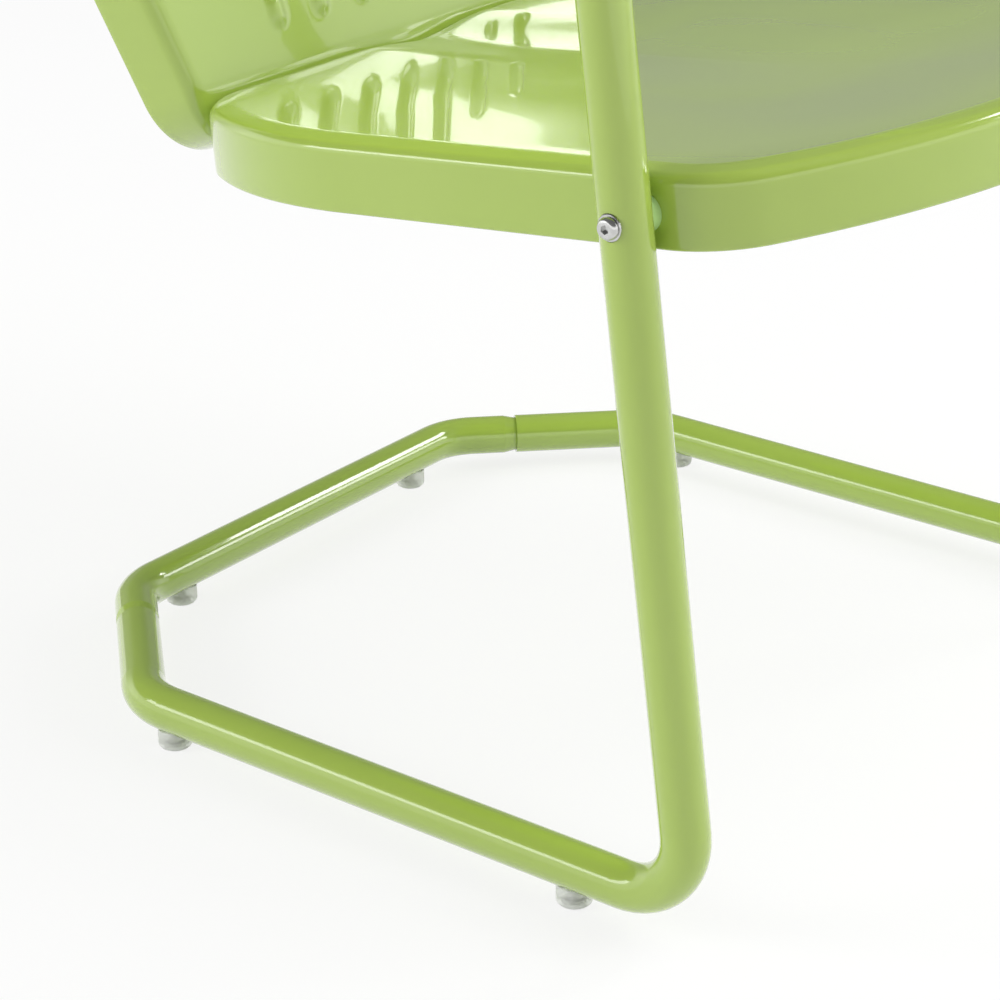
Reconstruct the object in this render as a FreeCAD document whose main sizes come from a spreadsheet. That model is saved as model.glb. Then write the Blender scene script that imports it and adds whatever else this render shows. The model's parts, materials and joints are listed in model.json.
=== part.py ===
import FreeCAD, Part
import math
import os

from FreeCAD import Placement, Rotation, Vector

# Metal patio chair: two bent tube side frames, a rear cross tube, a pressed seat and a pressed back.
# Millimetres, +Z up, the front faces -Y and +X is the sitter's left.
# The origin is on the floor under the middle of the chair.

# Driving dimensions: name, value, meaning
SIZES = [
    ("tube_diameter", 25.4, "outside diameter of every frame tube"),
    ("tube_wall", 1.5, "wall of every frame tube"),
    ("frame_half_width", 250.0, "middle of the chair to a runner's axis"),
    ("glide_height", 8.7, "floor to the underside of a tube"),
    ("front_corner_y", -260.0, "where the runner and upright axes cross"),
    ("rear_corner_y", 106.0, "where the runner and rear corner axes cross"),
    ("cross_tube_y", 207.0, "axis of the rear cross tube"),
    ("cross_half_width", 152.0, "middle of the chair to the cross tube's bend"),
    ("upright_lean", 7.86, "upright's lean to the rear, degrees"),
    ("arm_corner_height", 625.0, "where the upright and arm axes cross"),
    ("arm_tail", 26.0, "arm tube beyond its bolt"),
    ("front_bend_radius", 36.0, "runner to upright, on the axis"),
    ("arm_bend_radius", 80.0, "upright to arm, on the axis"),
    ("rear_bend_radius", 45.0, "runner to rear corner, on the axis"),
    ("cross_bend_radius", 42.0, "rear corner to cross tube, on the axis"),
    ("slip_joint_reach", 94.0, "rear corner crossing to the side frame's open end"),
    ("swage_taper", 8.0, "length of the cross tube's taper"),
    ("swage_length", 45.0, "length of the neck inside the side frame"),
    ("swage_clearance", 0.2, "neck to side frame bore, on the radius"),
    ("sheet", 1.2, "thickness of the pressed sheet"),
    ("seat_half_width", 235.0, "middle of the chair to the seat's skirt"),
    ("seat_length", 428.0, "seat's rear skirt to the middle of its front"),
    ("seat_slope", 6.04, "seat's fall to the rear, degrees"),
    ("seat_rear_y", 104.0, "lower edge of the seat's rear skirt"),
    ("seat_rear_height", 314.1, "lower edge of the seat's rear skirt"),
    ("seat_skirt", 37.0, "height of the seat's skirt"),
    ("seat_rim_radius", 6.5, "round between rim and skirt"),
    ("seat_rim_width", 13.5, "skirt to the crease where the dish starts"),
    ("seat_front_bow", 424.0, "radius of the bowed front edge"),
    ("seat_front_corner", 50.0, "radius of a front corner"),
    ("seat_rear_corner", 55.0, "tight radius of a rear corner"),
    ("seat_rear_corner_across", 80.0, "rear corner's reach across the chair"),
    ("seat_rear_corner_along", 135.0, "rear corner's reach along the side"),
    ("dish_depth", 7.2, "rim to the bottom of the dish"),
    ("lobe_x", 115.0, "middle of the chair to the top of a rear lobe"),
    ("lobe_y", 129.0, "rear skirt to the top of a rear lobe"),
    ("lobe_inner_reach", 130.0, "top of a rear lobe to its foot at the middle of the chair"),
    ("lobe_front_reach", 300.0, "top of a rear lobe to its foot at the front"),
    ("lobe_rise", 4.2, "top of a rear lobe above the plain dish"),
    ("valley_depth", 4.9, "dip in the middle of the rear rim"),
    ("valley_half_width", 58.0, "half the width of the dip"),
    ("valley_length", 155.0, "rear skirt to where the dip runs out into the dish"),
    ("back_recline", 20.0, "back's lean, degrees"),
    ("back_height", 547.5, "length of the back along its face"),
    ("back_fold_rise", 5.5, "fold of the back above the seat's rim"),
    ("back_foot", 35.0, "length of the back below its fold"),
    ("back_foot_half_width", 187.5, "half width of the back at the seat"),
    ("back_half_width", 235.0, "half width of the back at the arms"),
    ("back_foot_corner", 42.0, "radius of a lower corner"),
    ("back_taper", 12.0, "slant of the lower sides, degrees"),
    ("back_side_bend", 250.0, "radius between the slanted and the upright sides"),
    ("back_shoulder", 150.0, "radius of an upper corner"),
    ("back_crown", 480.0, "radius of the arched top"),
    ("back_skirt", 40.0, "depth of the back's skirt"),
    ("back_edge_radius", 9.0, "round between face and skirt"),
    ("back_flute_radius", 14.0, "round of a back flute"),
    ("back_flute_rise", 2.5, "how far a back flute stands above the face"),
    ("back_flute_pitch", 36.0, "distance between back flutes"),
    ("back_flute_length", 111.0, "length of the round bar of the middle back flute"),
    ("back_flute_step", 25.0, "how much shorter each back flute is than the next one inwards"),
    ("back_flute_foot", 45.0, "foot of a back flute's round bar above the back's lower edge"),
    ("flange_gap", 0.3, "seat skirt to the back's foot"),
    ("bolt_diameter", 6.0, "every bolt"),
    ("bolt_hole", 6.6, "every bolt hole"),
    ("bolt_head_diameter", 11.0, "button head"),
    ("bolt_head_height", 3.3, "button head"),
    ("bolt_head_round", 1.2, "button head's edge"),
    ("bolt_socket", 4.0, "hexagon socket across flats"),
    ("bolt_socket_depth", 2.0, "hexagon socket"),
    ("washer_diameter", 13.0, "plain washer"),
    ("washer_thickness", 1.2, "plain washer"),
    ("spot_depth", 0.8, "flat pressed into a tube under a washer"),
    ("nut_flats", 10.0, "lock nut across flats"),
    ("nut_height", 6.0, "lock nut"),
    ("bolt_tail", 1.5, "thread beyond a nut"),
    ("spacer_diameter", 19.0, "round saddle spacer"),
    ("seat_bolt_height", 17.3, "seat bolt above the skirt's lower edge"),
    ("arm_bolt_rise", 295.0, "arm bolt above the back's lower edge"),
    ("back_bolt_pitch", 70.0, "distance between the bolts of the back's foot"),
    ("back_bolt_height", 22.0, "the foot's bolts above the skirt's lower edge"),
    ("glide_diameter", 19.0, "floor glide"),
    ("glide_round", 3.0, "rounded foot of a glide"),
    ("glide_seat", 3.0, "how far a glide's cup reaches up beside the tube"),
    ("glide_screw_diameter", 3.5, "glide screw"),
    ("glide_screw_head", 7.5, "glide screw's head"),
    ("glide_screw_head_height", 2.4, "glide screw's head"),
    ("glide_recess", 1.2, "floor to a glide screw's head"),
    ("glide_screw_length", 14.0, "glide screw above its head"),
    ("front_glide_reach", 71.0, "front corner crossing to a front glide"),
    ("rear_glide_reach", 22.0, "rear corner crossing to a rear glide"),
    ("cross_glide_half_width", 112.0, "middle of the chair to a cross tube glide"),
    ("plug_length", 14.0, "arm plug inside the tube"),
    ("plug_flange", 2.5, "arm plug outside the tube"),
    ("plug_clearance", 0.1, "arm plug to tube bore"),
]

# Back flutes from side to side, counted from the middle
BACK_FLUTES = (-3, -2, -1, 0, 1, 2, 3)
BACK_BOLTS = (-1.5, -0.5, 0.5, 1.5)
SIDES = (("left", 1), ("right", -1))
X_AXIS = Vector(1, 0, 0)
Y_AXIS = Vector(0, 1, 0)
Z_AXIS = Vector(0, 0, 1)
LEVEL_TOLERANCE = 1e-6
NODES = []

doc = FreeCAD.newDocument("PatioChair")
sheet = doc.addObject("Spreadsheet::Sheet", "Sizes")
for row, (name, value, meaning) in enumerate(SIZES, start=1):
    sheet.set(f"A{row}", name)
    sheet.set(f"B{row}", str(value))
    sheet.set(f"C{row}", meaning)
    sheet.setAlias(f"B{row}", name)
doc.recompute()


def size(name):
    return float(sheet.get(name))


def bind(item, **formulas):
    """Tie properties of a document object to the sheet."""
    for prop, formula in formulas.items():
        item.setExpression(prop, formula)


def node(item, label):
    """Register a finished sub-part under its file name."""
    item.Label = label
    NODES.append(item)
    return item


def turned(direction):
    """Rotation that takes +Z to a direction."""
    return Rotation(Z_AXIS, direction)


def cylinder(name, base, direction, **formulas):
    item = doc.addObject("Part::Cylinder", name)
    bind(item, **formulas)
    item.Placement = Placement(base, turned(direction))
    return item


def fuse(name, items):
    item = doc.addObject("Part::MultiFuse", name)
    item.Shapes = items
    return item


def cut(name, base, tool):
    item = doc.addObject("Part::Cut", name)
    item.Base = base
    item.Tool = tool
    return item


def group(name, items):
    """Identical pieces that share one node."""
    item = doc.addObject("Part::Compound", name)
    item.Links = items
    return item


# Tubes

def bent_path(points, radii):
    """Straight runs joined by tangent arcs."""
    edges = []
    start = points[0]
    for i, radius in enumerate(radii, start=1):
        corner = points[i]
        to_back = (points[i - 1] - corner).normalize()
        to_next = (points[i + 1] - corner).normalize()
        half_angle = to_back.getAngle(to_next) / 2
        tangent = radius / math.tan(half_angle)
        bisector = (to_back + to_next).normalize()
        middle = corner + bisector * (radius / math.sin(half_angle) - radius)
        arc_start = corner + to_back * tangent
        arc_end = corner + to_next * tangent
        edges.append(Part.LineSegment(start, arc_start).toShape())
        edges.append(Part.Arc(arc_start, middle, arc_end).toShape())
        start = arc_end
    edges.append(Part.LineSegment(start, points[-1]).toShape())
    return Part.Wire(edges)


def swept(name, path, start, direction, radius_formula):
    circle = doc.addObject("Part::Circle", name + "_circle")
    bind(circle, Radius=radius_formula)
    circle.Placement = Placement(start, turned(direction))
    sweep = doc.addObject("Part::Sweep", name)
    sweep.Sections = [circle]
    sweep.Spine = (path, [f"Edge{i + 1}" for i in range(len(path.Shape.Edges))])
    sweep.Solid = True
    sweep.Frenet = False
    return sweep


OUTER_RADIUS = "Sizes.tube_diameter / 2"
INNER_RADIUS = "Sizes.tube_diameter / 2 - Sizes.tube_wall"
NECK_OUTER = "Sizes.tube_diameter / 2 - Sizes.tube_wall - Sizes.swage_clearance"
NECK_INNER = "Sizes.tube_diameter / 2 - 2 * Sizes.tube_wall - Sizes.swage_clearance"

tube_radius = size("tube_diameter") / 2
axis_height = size("glide_height") + tube_radius
half_width = size("frame_half_width")
upright_slope = math.tan(math.radians(size("upright_lean")))


def upright_y(height):
    return size("front_corner_y") + (height - axis_height) * upright_slope


# Where the seat and the back stand

seat_angle = math.radians(size("seat_slope"))
seat_place = Placement(
    Vector(0, size("seat_rear_y"), size("seat_rear_height")),
    Rotation(X_AXIS, -size("seat_slope")),
)
back_fold = seat_place.multVec(
    Vector(0, size("flange_gap"), size("seat_skirt") + size("back_fold_rise"))
)
recline = math.radians(size("back_recline"))
back_up = Vector(0, math.sin(recline), math.cos(recline))
back_base = back_fold - back_up * size("back_foot")
back_place = Placement(back_base, Rotation(X_AXIS, 90 - size("back_recline")))

# Where the bolts sit

arm_bolt = back_place.multVec(Vector(0, size("arm_bolt_rise"), -size("back_skirt") / 2))


def seat_bolt_point():
    """Point on the upright's axis, level with the bolt hole in the seat's skirt."""
    edge_slope = math.tan(seat_angle)
    rise = size("seat_bolt_height") / math.cos(seat_angle)
    floor_crossing = size("front_corner_y") - axis_height * upright_slope
    level = size("seat_rear_height") + rise + (size("seat_rear_y") - floor_crossing) * edge_slope
    height = level / (1 + upright_slope * edge_slope)
    return Vector(0, upright_y(height), height)


seat_bolt = seat_bolt_point()
upright_axis = Vector(0, upright_slope, 1).normalize()
arm_corner = Vector(0, upright_y(size("arm_corner_height")), size("arm_corner_height"))
arm_axis = (arm_bolt - arm_corner).normalize()
arm_end = arm_bolt + arm_axis * size("arm_tail")

# Where the glides sit

rear_corner = Vector(half_width, size("rear_corner_y"), axis_height)
cross_corner = Vector(size("cross_half_width"), size("cross_tube_y"), axis_height)
GLIDE_SPOTS = {
    "front": (half_width, size("front_corner_y") + size("front_glide_reach")),
    "rear": (half_width, size("rear_corner_y") - size("rear_glide_reach")),
    "cross": (size("cross_glide_half_width"), size("cross_tube_y")),
}


def glide_hole(name, x, y):
    return cylinder(
        name, Vector(x, y, 0), Z_AXIS,
        Radius="Sizes.glide_screw_diameter / 2",
        Height="Sizes.glide_height + Sizes.tube_diameter / 2",
    )


def bolt_drill(name, point, side):
    """Bolt hole right through a tube, with a flat pressed into its outer face."""
    outside = Vector(side * half_width, point.y, point.z) + X_AXIS * side * tube_radius
    hole = cylinder(
        name + "_hole", outside + X_AXIS * side, X_AXIS * -side,
        Radius="Sizes.bolt_hole / 2",
        Height="Sizes.tube_diameter + 2",
    )
    spot = cylinder(
        name + "_spot", outside - X_AXIS * side * size("spot_depth"), X_AXIS * side,
        Radius="Sizes.washer_diameter / 2 + Sizes.flange_gap",
        Height="Sizes.tube_diameter / 2",
    )
    return [hole, spot]


def side_frame(label, side):
    corner = Vector(side * rear_corner.x, rear_corner.y, axis_height)
    toward = Vector(side * cross_corner.x, cross_corner.y, axis_height) - corner
    open_end = corner + toward.normalize() * size("slip_joint_reach")
    x_shift = X_AXIS * side * half_width
    points = [
        arm_end + x_shift,
        arm_corner + x_shift,
        Vector(side * half_width, size("front_corner_y"), axis_height),
        corner,
        open_end,
    ]
    radii = [size("arm_bend_radius"), size("front_bend_radius"), size("rear_bend_radius")]
    path = doc.addObject("Part::Feature", label + "_path")
    path.Shape = bent_path(points, radii)
    outer = swept(label + "_outer", path, points[0], arm_axis * -1, OUTER_RADIUS)
    inner = swept(label + "_inner", path, points[0], arm_axis * -1, INNER_RADIUS)
    drills = bolt_drill(label + "_seat_drill", seat_bolt, side)
    drills += bolt_drill(label + "_arm_drill", arm_bolt, side)
    for spot in ("front", "rear"):
        x, y = GLIDE_SPOTS[spot]
        drills.append(glide_hole(label + "_" + spot + "_hole", side * x, y))
    return node(cut(label, outer, fuse(label + "_hollow", [inner] + drills)), label)


def cone(name, base, direction, **formulas):
    item = doc.addObject("Part::Cone", name)
    bind(item, **formulas)
    item.Placement = Placement(base, turned(direction))
    return item


def rear_cross_tube(label):
    run = (cross_corner - rear_corner).normalize()
    taper_start = rear_corner + run * (size("slip_joint_reach") + size("swage_taper"))
    mirrored = [Vector(-p.x, p.y, p.z) for p in (cross_corner, taper_start)]
    points = [taper_start, cross_corner, mirrored[0], mirrored[1]]
    radius = size("cross_bend_radius")
    path = doc.addObject("Part::Feature", label + "_path")
    path.Shape = bent_path(points, [radius, radius])
    solids = [swept(label + "_outer", path, points[0], run, OUTER_RADIUS)]
    hollows = [swept(label + "_inner", path, points[0], run, INNER_RADIUS)]
    for name, side in SIDES:
        outward = Vector(-run.x * side, -run.y, 0)
        start = Vector(side * taper_start.x, taper_start.y, taper_start.z)
        neck = start + outward * size("swage_taper")
        solids.append(cone(
            f"{label}_{name}_taper", start, outward,
            Radius1=OUTER_RADIUS, Radius2=NECK_OUTER, Height="Sizes.swage_taper",
        ))
        hollows.append(cone(
            f"{label}_{name}_taper_bore", start, outward,
            Radius1=INNER_RADIUS, Radius2=NECK_INNER, Height="Sizes.swage_taper",
        ))
        solids.append(cylinder(
            f"{label}_{name}_neck", neck, outward,
            Radius=NECK_OUTER, Height="Sizes.swage_length",
        ))
        hollows.append(cylinder(
            f"{label}_{name}_neck_bore", neck, outward,
            Radius=NECK_INNER, Height="Sizes.swage_length",
        ))
        x, y = GLIDE_SPOTS["cross"]
        hollows.append(glide_hole(f"{label}_{name}_hole", side * x, y))
    return node(cut(label, fuse(label + "_solid", solids), fuse(label + "_hollow", hollows)), label)


# Pressed sheets

def arc_edge(center, radius, start_angle, end_angle):
    """Arc in the XY plane, angles in radians."""
    def spot(angle):
        return center + Vector(math.cos(angle), math.sin(angle), 0) * radius
    middle = (start_angle + end_angle) / 2
    return Part.Arc(spot(start_angle), spot(middle), spot(end_angle)).toShape()


def line_edge(start, end):
    return Part.LineSegment(start, end).toShape()


def mirrored_loop(right_edges):
    """Closed wire from the edges of the +X half, in order from the rear or top to the front or foot."""
    left_edges = [edge.mirror(Vector(0, 0, 0), X_AXIS) for edge in right_edges]
    return Part.Wire(Part.__sortEdges__(right_edges + left_edges))


def seat_outline():
    """Straight rear, drawn-out rear corners, straight sides and a bowed front."""
    across = size("seat_rear_corner_across")
    along = size("seat_rear_corner_along")
    tight = size("seat_rear_corner")
    wide = (2 * along * tight - across ** 2 - along ** 2) / (2 * tight - 2 * across)
    side_x = size("seat_half_width")
    tight_center = Vector(side_x - across, -tight, 0)
    wide_center = Vector(side_x - wide, -along, 0)
    join = (tight_center - wide_center)
    join_angle = math.atan2(join.y, join.x)
    bow = size("seat_front_bow")
    bow_center = Vector(0, bow - size("seat_length"), 0)
    corner = size("seat_front_corner")
    corner_x = side_x - corner
    corner_drop = math.sqrt((bow - corner) ** 2 - corner_x ** 2)
    corner_center = Vector(corner_x, bow_center.y - corner_drop, 0)
    corner_angle = math.atan2(-corner_drop, corner_x)
    edges = [
        line_edge(Vector(0, 0, 0), Vector(side_x - across, 0, 0)),
        arc_edge(tight_center, tight, math.pi / 2, join_angle),
        arc_edge(wide_center, wide, join_angle, 0),
        line_edge(Vector(side_x, -along, 0), Vector(side_x, corner_center.y, 0)),
        arc_edge(corner_center, corner, 0, corner_angle),
        arc_edge(bow_center, bow, corner_angle, -math.pi / 2),
    ]
    return mirrored_loop(edges)


def back_outline():
    """Narrow foot, sides that slant out to the arms, round shoulders and an arched top."""
    side_x = size("back_half_width")
    taper = math.radians(size("back_taper"))
    outward = Vector(math.cos(taper), -math.sin(taper), 0)
    foot_round = size("back_foot_corner")
    foot_center = Vector(size("back_foot_half_width") - foot_round, foot_round, 0)
    bend = size("back_side_bend")
    bend_x = side_x - bend
    shift = bend_x - foot_center.x + (bend - foot_round) * outward.x
    bend_center = Vector(bend_x, foot_round - (bend - foot_round) * outward.y + shift / math.tan(taper), 0)
    crown = size("back_crown")
    crown_center = Vector(0, size("back_height") - crown, 0)
    shoulder = size("back_shoulder")
    shoulder_x = side_x - shoulder
    shoulder_rise = math.sqrt((crown - shoulder) ** 2 - shoulder_x ** 2)
    shoulder_center = Vector(shoulder_x, crown_center.y + shoulder_rise, 0)
    shoulder_angle = math.atan2(shoulder_rise, shoulder_x)
    edges = [
        arc_edge(crown_center, crown, math.pi / 2, shoulder_angle),
        arc_edge(shoulder_center, shoulder, shoulder_angle, 0),
        line_edge(Vector(side_x, shoulder_center.y, 0), Vector(side_x, bend_center.y, 0)),
        arc_edge(bend_center, bend, 0, -taper),
        line_edge(bend_center + outward * bend, foot_center + outward * foot_round),
        arc_edge(foot_center, foot_round, -taper, -math.pi / 2),
        line_edge(Vector(foot_center.x, 0, 0), Vector(0, 0, 0)),
    ]
    return mirrored_loop(edges)


def rounded_block(outline, level, depth, radius):
    """Outline at a level, extruded by a depth, with the edge at that level rounded."""
    block = Part.Face(outline).extrude(Vector(0, 0, depth))
    rim = [edge for edge in block.Edges
           if all(abs(vertex.Z - level) < LEVEL_TOLERANCE for vertex in edge.Vertexes)]
    return block.makeFillet(radius, rim)


def raised(wire, height):
    moved = wire.copy()
    moved.translate(Vector(0, 0, height))
    return moved


def capsule(start, end, radius):
    """Round bar with round ends."""
    run = end - start
    bar = Part.makeCylinder(radius, run.Length, start, run)
    return bar.fuse([Part.makeSphere(radius, start), Part.makeSphere(radius, end)])


DISH_SQUARENESS = 4
DISH_FLAT_SHARE = 0.37
RELIEF_STEPS = 28


def eased(share):
    """Smooth step from 0 to 1."""
    share = min(1.0, max(0.0, share))
    return share * share * (3 - 2 * share)


def seat_relief(x, y):
    """Height over the rim at a point inside the crease: a shallow dish with a low lobe on each side."""
    crease_x = size("seat_half_width") - size("seat_rim_width")
    middle_y = size("seat_length") / 2
    across = abs(x) / crease_x
    along = abs(y + middle_y) / (middle_y - size("seat_rim_width"))
    share = (across ** DISH_SQUARENESS + along ** DISH_SQUARENESS) ** (1 / DISH_SQUARENESS)
    dish = size("dish_depth") * eased((1 - share) / (1 - DISH_FLAT_SHARE))
    beside = abs(x) - size("lobe_x")
    ahead = -y - size("lobe_y")
    beside /= crease_x - size("lobe_x") if beside > 0 else size("lobe_inner_reach")
    ahead /= size("lobe_front_reach") if ahead > 0 else size("lobe_y") - size("seat_rim_width")
    reach = min(1.0, math.hypot(beside, ahead))
    return size("lobe_rise") * math.cos(math.pi / 2 * reach) ** 2 - dish


def relief_block(crease, top):
    """Solid inside the crease, up to the pressed relief."""
    half = size("seat_half_width")
    rows = []
    for i in range(RELIEF_STEPS + 1):
        y = -size("seat_length") * i / RELIEF_STEPS
        row = []
        for j in range(RELIEF_STEPS + 1):
            x = half * (2 * j / RELIEF_STEPS - 1)
            row.append(Vector(x, y, top + seat_relief(x, y)))
        rows.append(row)
    relief = Part.BSplineSurface()
    relief.interpolate(rows)
    below = relief.toShape().extrude(Vector(0, 0, -2 * top))
    column = Part.Face(crease).extrude(Vector(0, 0, 2 * top))
    return column.common(below)


def seat_valley(top):
    """Round trough that dips the middle of the rear rim and falls to the bottom of the dish."""
    depth = size("valley_depth")
    radius = (size("valley_half_width") ** 2 + depth ** 2) / (2 * depth)
    front = Vector(0, -size("valley_length"), top - size("dish_depth") + radius)
    rear = Vector(0, 0, top - depth + radius)
    run = rear - front
    return Part.makeCylinder(radius, 2 * run.Length, front, run)


def pressed(block, crease, top):
    """Block with the seat's relief in its top."""
    column = Part.Face(crease).extrude(Vector(0, 0, 2 * top))
    rim = block.cut(column)
    return rim.fuse(relief_block(crease, top)).cut(seat_valley(top))


def seat_pan(label):
    wall = size("sheet")
    skirt = size("seat_skirt")
    outline = seat_outline()
    inside = outline.makeOffset2D(-wall)
    crease = outline.makeOffset2D(-size("seat_rim_width"))
    top_side = rounded_block(raised(outline, skirt), skirt, -skirt, size("seat_rim_radius"))
    under_side = rounded_block(
        raised(inside, skirt - wall), skirt - wall, -skirt, size("seat_rim_radius") - wall
    )
    pan = pressed(top_side, crease, skirt).cut(pressed(under_side, crease, skirt - wall))
    pan.Placement = seat_place
    drills = [
        Part.makeCylinder(
            size("bolt_hole") / 2, 2 * size("seat_half_width") + 2,
            Vector(-size("seat_half_width") - 1, seat_bolt.y, seat_bolt.z), X_AXIS,
        )
    ]
    drills += [foot_drill(shift) for shift in BACK_BOLTS]
    item = doc.addObject("Part::Feature", label)
    item.Shape = pan.cut(drills)
    return node(item, label)


def foot_bolt_point(shift, depth):
    """Point on one of the foot's bolts, at a depth behind the seat's rear skirt."""
    local = Vector(shift * size("back_bolt_pitch"), depth, size("back_bolt_height"))
    return seat_place.multVec(local)


rear_axis = seat_place.Rotation.multVec(Y_AXIS)


def foot_drill(shift):
    reach = 2 * size("bolt_head_diameter")
    start = foot_bolt_point(shift, -reach / 2)
    return Part.makeCylinder(size("bolt_hole") / 2, reach, start, rear_axis)


def back_flutes(level):
    """Upright flutes side by side on the back's face, longest in the middle."""
    radius = size("back_flute_radius")
    sunk = radius - size("back_flute_rise")
    bars = []
    for i in BACK_FLUTES:
        length = size("back_flute_length") - abs(i) * size("back_flute_step")
        foot = Vector(i * size("back_flute_pitch"), size("back_flute_foot") + radius, level - sunk)
        bars.append(capsule(foot, foot + Y_AXIS * (length - 2 * radius), radius))
    return bars


def ahead_of_foot(depth):
    """Room in front of the back's foot, which stands flat behind the seat's rear skirt."""
    room = Part.makeBox(2 * half_width, half_width, half_width)
    room.translate(Vector(-half_width, size("flange_gap") + depth - half_width, -half_width / 2))
    room.Placement = seat_place.multiply(room.Placement)
    return room


def back_panel(label):
    wall = size("sheet")
    outline = back_outline()
    inside = outline.makeOffset2D(-wall)
    front_side = rounded_block(outline, 0, -size("back_skirt"), size("back_edge_radius"))
    rear_side = rounded_block(
        raised(inside, -wall), -wall, -size("back_skirt"), size("back_edge_radius") - wall
    )
    front_side = front_side.fuse(back_flutes(0))
    rear_side = rear_side.fuse(back_flutes(-wall))
    front_side.Placement = back_place
    rear_side.Placement = back_place
    shell = front_side.cut(ahead_of_foot(0)).cut(rear_side.cut(ahead_of_foot(wall)))
    drills = [
        Part.makeCylinder(
            size("bolt_hole") / 2, 2 * size("back_half_width") + 2,
            Vector(-size("back_half_width") - 1, arm_bolt.y, arm_bolt.z), X_AXIS,
        )
    ]
    drills += [foot_drill(shift) for shift in BACK_BOLTS]
    item = doc.addObject("Part::Feature", label)
    item.Shape = shell.cut(drills)
    return node(item, label)


# Fasteners

def bolt(name, under_head, direction, length_formula):
    """Button head bolt: the direction runs from the head along the shank."""
    outward = direction * -1
    shank = cylinder(
        name + "_shank", under_head, direction,
        Radius="Sizes.bolt_diameter / 2", Height=length_formula,
    )
    head = cylinder(
        name + "_head_blank", under_head, outward,
        Radius="Sizes.bolt_head_diameter / 2", Height="Sizes.bolt_head_height",
    )
    doc.recompute()
    rounded = doc.addObject("Part::Fillet", name + "_head")
    rounded.Base = head
    rim = [i for i, edge in enumerate(head.Shape.Edges, start=1)
           if edge.Closed and (edge.CenterOfMass - under_head).Length > size("bolt_head_height") / 2]
    rounded.Edges = [(i, size("bolt_head_round"), size("bolt_head_round")) for i in rim]
    socket = doc.addObject("Part::Prism", name + "_socket")
    socket.Polygon = 6
    bind(socket, Circumradius="Sizes.bolt_socket / sqrt(3)", Height="Sizes.bolt_socket_depth")
    floor = under_head + outward * (size("bolt_head_height") - size("bolt_socket_depth"))
    socket.Placement = Placement(floor, turned(outward))
    return cut(name, fuse(name + "_solid", [shank, rounded]), socket)


def washer(name, face, direction):
    """Plain washer that stands on a face, towards the direction."""
    disc = cylinder(
        name + "_disc", face, direction,
        Radius="Sizes.washer_diameter / 2", Height="Sizes.washer_thickness",
    )
    hole = cylinder(
        name + "_hole", face, direction,
        Radius="Sizes.bolt_hole / 2", Height="Sizes.washer_thickness",
    )
    return cut(name, disc, hole)


def nut(name, face, direction):
    """Lock nut that stands on a face, towards the direction."""
    blank = doc.addObject("Part::Prism", name + "_blank")
    blank.Polygon = 6
    bind(blank, Circumradius="Sizes.nut_flats / sqrt(3)", Height="Sizes.nut_height")
    blank.Placement = Placement(face, turned(direction))
    hole = cylinder(
        name + "_thread", face, direction,
        Radius="Sizes.bolt_diameter / 2", Height="Sizes.nut_height",
    )
    return cut(name, blank, hole)


def saddle_spacer(name, point, tube_axis, side, sheet_side):
    """Round spacer between a tube and a sheet, hollowed to the tube."""
    face = Vector(side * size(sheet_side), point.y, point.z)
    disc = cylinder(
        name + "_disc", face, X_AXIS * side,
        Radius="Sizes.spacer_diameter / 2", Height=f"Sizes.frame_half_width - Sizes.{sheet_side}",
    )
    hole = cylinder(
        name + "_hole", face, X_AXIS * side,
        Radius="Sizes.bolt_hole / 2", Height="Sizes.tube_diameter",
    )
    center = Vector(side * half_width, point.y, point.z)
    saddle = cylinder(
        name + "_saddle", center - tube_axis * size("tube_diameter"), tube_axis,
        Radius=OUTER_RADIUS, Height="2 * Sizes.tube_diameter",
    )
    return cut(name, disc, fuse(name + "_hollow", [hole, saddle]))


def side_fastening(prefix, side_name, side, point, tube_axis, sheet_side):
    """Bolt, washer, saddle spacer and nut that hold a sheet's skirt to a tube."""
    inward = X_AXIS * -side
    flat_x = half_width + tube_radius - size("spot_depth")
    flat = Vector(side * flat_x, point.y, point.z)
    under_head = flat - inward * size("washer_thickness")
    inner_x = size(sheet_side) - size("sheet")
    length = (
        "Sizes.frame_half_width + Sizes.tube_diameter / 2 - Sizes.spot_depth + Sizes.washer_thickness"
        f" - Sizes.{sheet_side} + Sizes.sheet + Sizes.nut_height + Sizes.bolt_tail"
    )
    start = f"{side_name}_{prefix}"
    node(bolt(start + "_bolt", under_head, inward, length), start + "_bolt")
    node(washer(start + "_washer", flat, inward * -1), start + "_washer")
    node(saddle_spacer(start + "_spacer", point, tube_axis, side, sheet_side), start + "_spacer")
    inner_face = Vector(side * inner_x, point.y, point.z)
    node(nut(start + "_nut", inner_face, inward), start + "_nut")


def foot_fastenings():
    """Bolts, washers and nuts along the seat's rear skirt."""
    wall = size("sheet")
    back_face = size("flange_gap") + wall
    length = (
        "Sizes.washer_thickness + Sizes.flange_gap + 2 * Sizes.sheet"
        " + Sizes.nut_height + Sizes.bolt_tail"
    )
    bolts = []
    washers = []
    nuts = []
    for i, shift in enumerate(BACK_BOLTS, start=1):
        flat = foot_bolt_point(shift, back_face)
        under_head = foot_bolt_point(shift, back_face + size("washer_thickness"))
        inner_face = foot_bolt_point(shift, -wall)
        bolts.append(bolt(f"back_bolt_{i}", under_head, rear_axis * -1, length))
        washers.append(washer(f"back_washer_{i}", flat, rear_axis))
        nuts.append(nut(f"back_nut_{i}", inner_face, rear_axis * -1))
    node(group("back_bolts", bolts), "back_bolts")
    node(group("back_washers", washers), "back_washers")
    node(group("back_nuts", nuts), "back_nuts")


# Glides and plugs

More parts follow.
